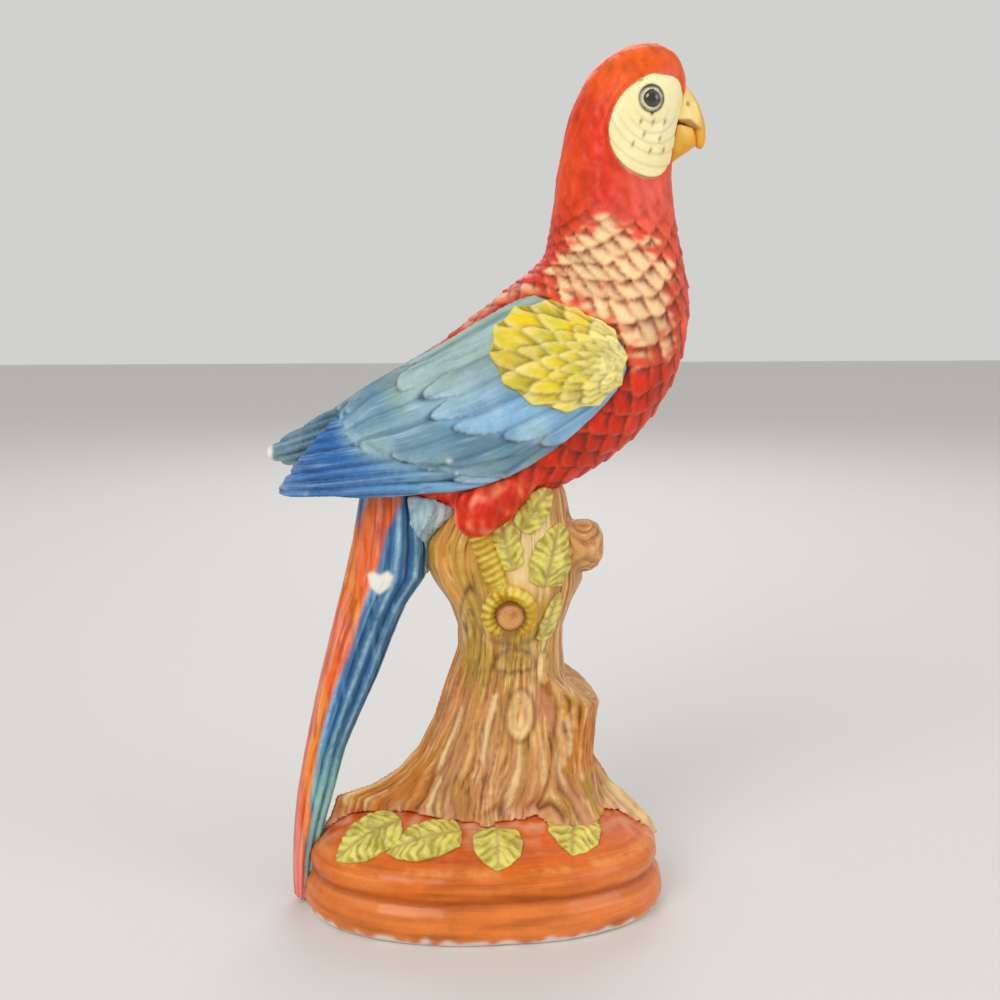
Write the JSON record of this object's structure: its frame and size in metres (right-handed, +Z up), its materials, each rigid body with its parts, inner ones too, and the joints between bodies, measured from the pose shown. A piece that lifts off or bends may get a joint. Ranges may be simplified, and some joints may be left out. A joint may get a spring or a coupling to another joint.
{
  "type": "ceramic parrot figurine",
  "caption": "Hollow-cast painted earthenware macaw perched on a tree stump, its tail reaching down to a two-tier oval plinth; a shelf or table ornament.",
  "frame": {"origin": "bottom centre of the figurine: the plinth's foot plane at Z = 0, on the plinth's two planes of symmetry", "axes": "+X the way the bird faces, +Y its left side, +Z up"},
  "size_m": [0.1974, 0.11, 0.4003],
  "materials": {
    "painted_base": "semi-gloss painted earthenware, terracotta",
    "painted_bark": "semi-gloss painted earthenware, orange brown bark",
    "painted_cut_wood": "semi-gloss painted earthenware, cut wood",
    "red_plumage": "semi-gloss painted earthenware, red",
    "blue_plumage": "satin painted earthenware, blue",
    "pale_plumage": "satin painted earthenware, pale grey blue",
    "yellow_plumage": "satin painted earthenware, yellow green",
    "leg_paint": "satin painted earthenware, ochre",
    "face_paint": "satin painted earthenware, cream",
    "eye_gloss": "gloss black",
    "beak_paint": "semi-gloss painted earthenware, ochre yellow",
    "leaf_paint": "satin painted earthenware, yellow green"
  },
  "bodies": {
    "root": {"beak_lower": "beak_paint", "beak_upper": "beak_paint", "bird_body": "red_plumage", "branch_knob": "painted_bark", "cut_branch": "painted_bark", "deck_leaf_left_a": "leaf_paint", "deck_leaf_left_b": "leaf_paint", "deck_leaf_left_c": "leaf_paint", "deck_leaf_left_d": "leaf_paint", "deck_leaf_right_a": "leaf_paint", "deck_leaf_right_b": "leaf_paint", "deck_leaf_right_c": "leaf_paint", "deck_leaf_right_d": "leaf_paint", "eye_left": "eye_gloss", "eye_right": "eye_gloss", "face_patch_left": "face_paint", "face_patch_right": "face_paint", "foot_left": "leg_paint", "foot_right": "leg_paint", "leg_left": "leg_paint", "leg_right": "leg_paint", "perch_twig_left": "painted_cut_wood", "perch_twig_right": "painted_cut_wood", "plinth": "painted_base", "shoulder_coverts_left": "yellow_plumage", "shoulder_coverts_right": "yellow_plumage", "stump_leaf_left_a": "leaf_paint", "stump_leaf_left_b": "leaf_paint", "stump_leaf_left_c": "leaf_paint", "stump_leaf_left_d": "leaf_paint", "stump_leaf_right_a": "leaf_paint", "stump_leaf_right_b": "leaf_paint", "stump_leaf_right_c": "leaf_paint", "stump_leaf_right_d": "leaf_paint", "tail": "blue_plumage", "thigh_left": "red_plumage", "thigh_right": "red_plumage", "tree_stump": "painted_bark", "undertail_coverts": "pale_plumage", "wing_coverts_left": "pale_plumage", "wing_coverts_right": "pale_plumage", "wing_left": "blue_plumage", "wing_right": "blue_plumage"}
  },
  "joints": []
}
